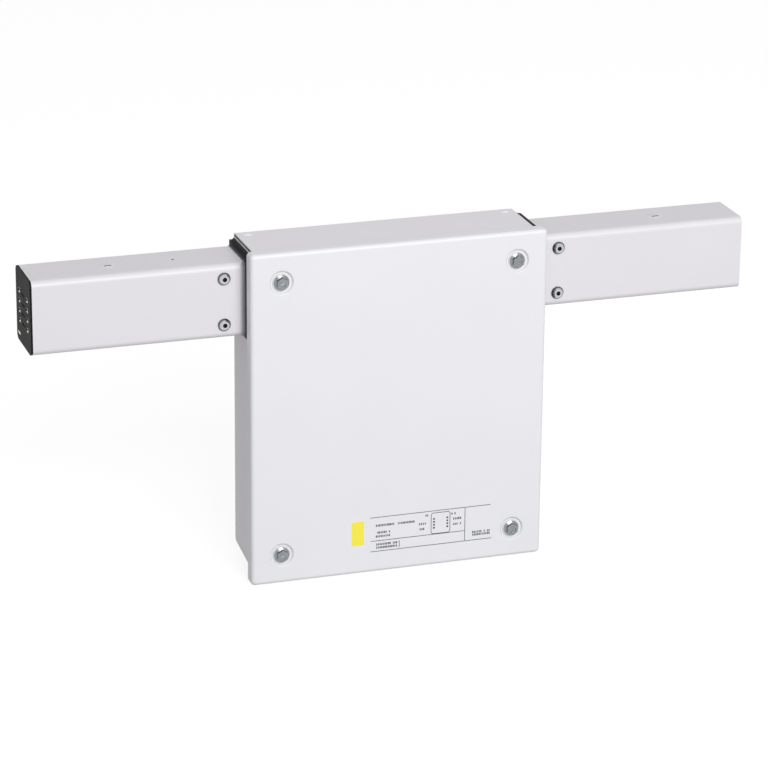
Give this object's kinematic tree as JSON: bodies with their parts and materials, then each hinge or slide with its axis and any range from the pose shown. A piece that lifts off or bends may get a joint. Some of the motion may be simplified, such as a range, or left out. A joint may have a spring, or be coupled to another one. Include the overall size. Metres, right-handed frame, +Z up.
{
  "type": "busbar trunking centre feed unit",
  "caption": "Flat steel supply box hung on a busbar trunking line, a trunking stub out of each side, with a screwed front cover over rail terminals, bars and leads.",
  "frame": {"origin": "centre of the four rear fixing holes, on the outer face of the back of the box", "axes": "+X along the trunking line to the right as seen from the front, +Y to the back, +Z up; the cover faces -Y"},
  "size_m": [0.549, 0.0685, 0.2575],
  "materials": {
    "white_paint": "white polyester powder coat, semi-matt",
    "zinc_steel": "zinc plated, satin",
    "galvanised_steel": "galvanised sheet",
    "black_rubber": "moulded rubber, matt",
    "black_plastic": "glass-filled polyamide, matt",
    "tinned_copper": "tin plated copper; density stands for copper",
    "brass": "bright brass",
    "grey_plastic": "grey polyamide",
    "green_plastic": "green polyamide",
    "nylon": "natural white nylon",
    "lead_brown": "brown PVC insulation",
    "lead_black": "black PVC insulation",
    "lead_green": "green and yellow PVC insulation"
  },
  "bodies": {
    "box": {"bar_carriers": "black_plastic", "blanking_plugs": "grey_plastic", "channel_nuts": "zinc_steel", "channel_studs": "zinc_steel", "circuit_1_bars": "tinned_copper", "circuit_1_leads": "lead_brown", "circuit_1_tap_clamps": "brass", "circuit_1_terminals": "grey_plastic", "circuit_2_bars": "tinned_copper", "circuit_2_leads": "lead_black", "circuit_2_tap_clamps": "brass", "circuit_2_terminals": "grey_plastic", "conductor_channel": "galvanised_steel", "cover_press_nuts": "zinc_steel", "earth_bar": "tinned_copper", "earth_leads": "lead_green", "earth_lug": "tinned_copper", "earth_nuts": "zinc_steel", "earth_stud": "zinc_steel", "earth_terminal": "green_plastic", "gland_plate": "white_paint", "gland_screws": "zinc_steel", "gland_seal": "black_rubber", "housing_body": "white_paint", "housing_rivets": "white_paint", "left_contacts": "tinned_copper", "left_entry_collar": "black_rubber", "left_side_panel": "white_paint", "left_socket_block": "black_plastic", "left_stub_casing": "white_paint", "left_stub_screws": "zinc_steel", "rail_screws": "zinc_steel", "right_entry_collar": "black_rubber", "right_pin_block": "black_plastic", "right_side_panel": "white_paint", "right_stub_casing": "white_paint", "right_stub_screws": "zinc_steel", "terminal_end_stops": "grey_plastic", "terminal_rail": "galvanised_steel", "terminal_screws": "zinc_steel"},
    "cover": {"front_cover": "white_paint", "cover_gasket": "black_rubber"},
    "washer_1": {"cover_washer_1": "nylon"},
    "screw_1": {"cover_screw_1": "zinc_steel"},
    "washer_2": {"cover_washer_2": "nylon"},
    "screw_2": {"cover_screw_2": "zinc_steel"},
    "washer_3": {"cover_washer_3": "nylon"},
    "screw_3": {"cover_screw_3": "zinc_steel"},
    "washer_4": {"cover_washer_4": "nylon"},
    "screw_4": {"cover_screw_4": "zinc_steel"}
  },
  "joints": [
    {"name": "cover_slide", "type": "slide", "parent": "box", "child": "cover", "axis": [0, -1, 0], "range_m": [0, 0.12]},
    {"name": "screw_1_rise", "type": "slide", "parent": "cover", "child": "washer_1", "axis": [0, -1, 0], "range_m": [0, 0.008]},
    {"name": "screw_1_turn", "type": "hinge", "parent": "washer_1", "child": "screw_1", "pos_m": [-0.0905, -0.064, 0.1315], "axis": [0, -1, 0], "range_deg": [0, 3600]},
    {"name": "screw_2_rise", "type": "slide", "parent": "cover", "child": "washer_2", "axis": [0, -1, 0], "range_m": [0, 0.008]},
    {"name": "screw_2_turn", "type": "hinge", "parent": "washer_2", "child": "screw_2", "pos_m": [0.0905, -0.064, 0.1315], "axis": [0, -1, 0], "range_deg": [0, 3600]},
    {"name": "screw_3_rise", "type": "slide", "parent": "cover", "child": "washer_3", "axis": [0, -1, 0], "range_m": [0, 0.008]},
    {"name": "screw_3_turn", "type": "hinge", "parent": "washer_3", "child": "screw_3", "pos_m": [-0.0905, -0.064, -0.081], "axis": [0, -1, 0], "range_deg": [0, 3600]},
    {"name": "screw_4_rise", "type": "slide", "parent": "cover", "child": "washer_4", "axis": [0, -1, 0], "range_m": [0, 0.008]},
    {"name": "screw_4_turn", "type": "hinge", "parent": "washer_4", "child": "screw_4", "pos_m": [0.0905, -0.064, -0.081], "axis": [0, -1, 0], "range_deg": [0, 3600]}
  ],
  "couplings": [
    {"joint": "screw_1_turn", "follows": "screw_1_rise", "rad_per_m": 7854},
    {"joint": "screw_2_turn", "follows": "screw_2_rise", "rad_per_m": 7854},
    {"joint": "screw_3_turn", "follows": "screw_3_rise", "rad_per_m": 7854},
    {"joint": "screw_4_turn", "follows": "screw_4_rise", "rad_per_m": 7854}
  ]
}
